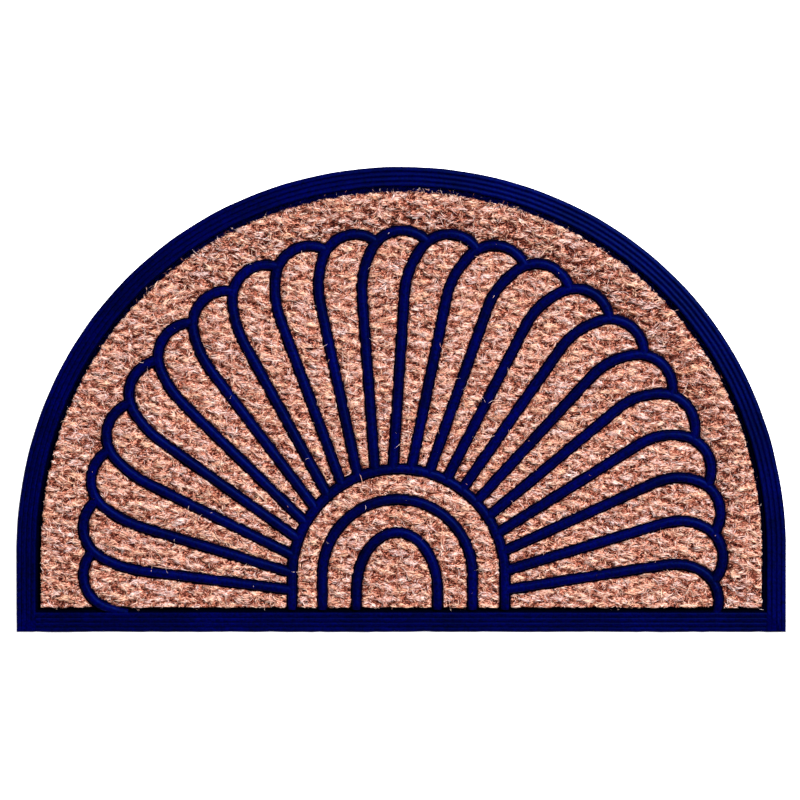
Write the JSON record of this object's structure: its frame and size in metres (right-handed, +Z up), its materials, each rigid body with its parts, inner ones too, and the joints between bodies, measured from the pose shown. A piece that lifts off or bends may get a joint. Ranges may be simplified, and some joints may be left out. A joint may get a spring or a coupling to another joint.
{
  "type": "half round doormat",
  "caption": "Half round doormat: a moulded rubber rim and raised rubber ribs in a sunburst fan with arches, over a panel of woven coir that scrapes shoes.",
  "frame": {"origin": "middle of the underside, halfway along the width and halfway from the straight side to the top of the arc", "axes": "+X along the straight side, +Y from the straight side to the arc, +Z up from the floor"},
  "size_m": [0.762, 0.4614, 0.0096],
  "materials": {
    "blue_rubber": "moulded navy blue rubber, satin, with fine ridges along the rim",
    "woven_coir": "thick plain woven coir yarn, reddish tan, hairy and matt"
  },
  "bodies": {
    "root": {"rubber_moulding": "blue_rubber", "coir_panel": "woven_coir"}
  },
  "joints": []
}
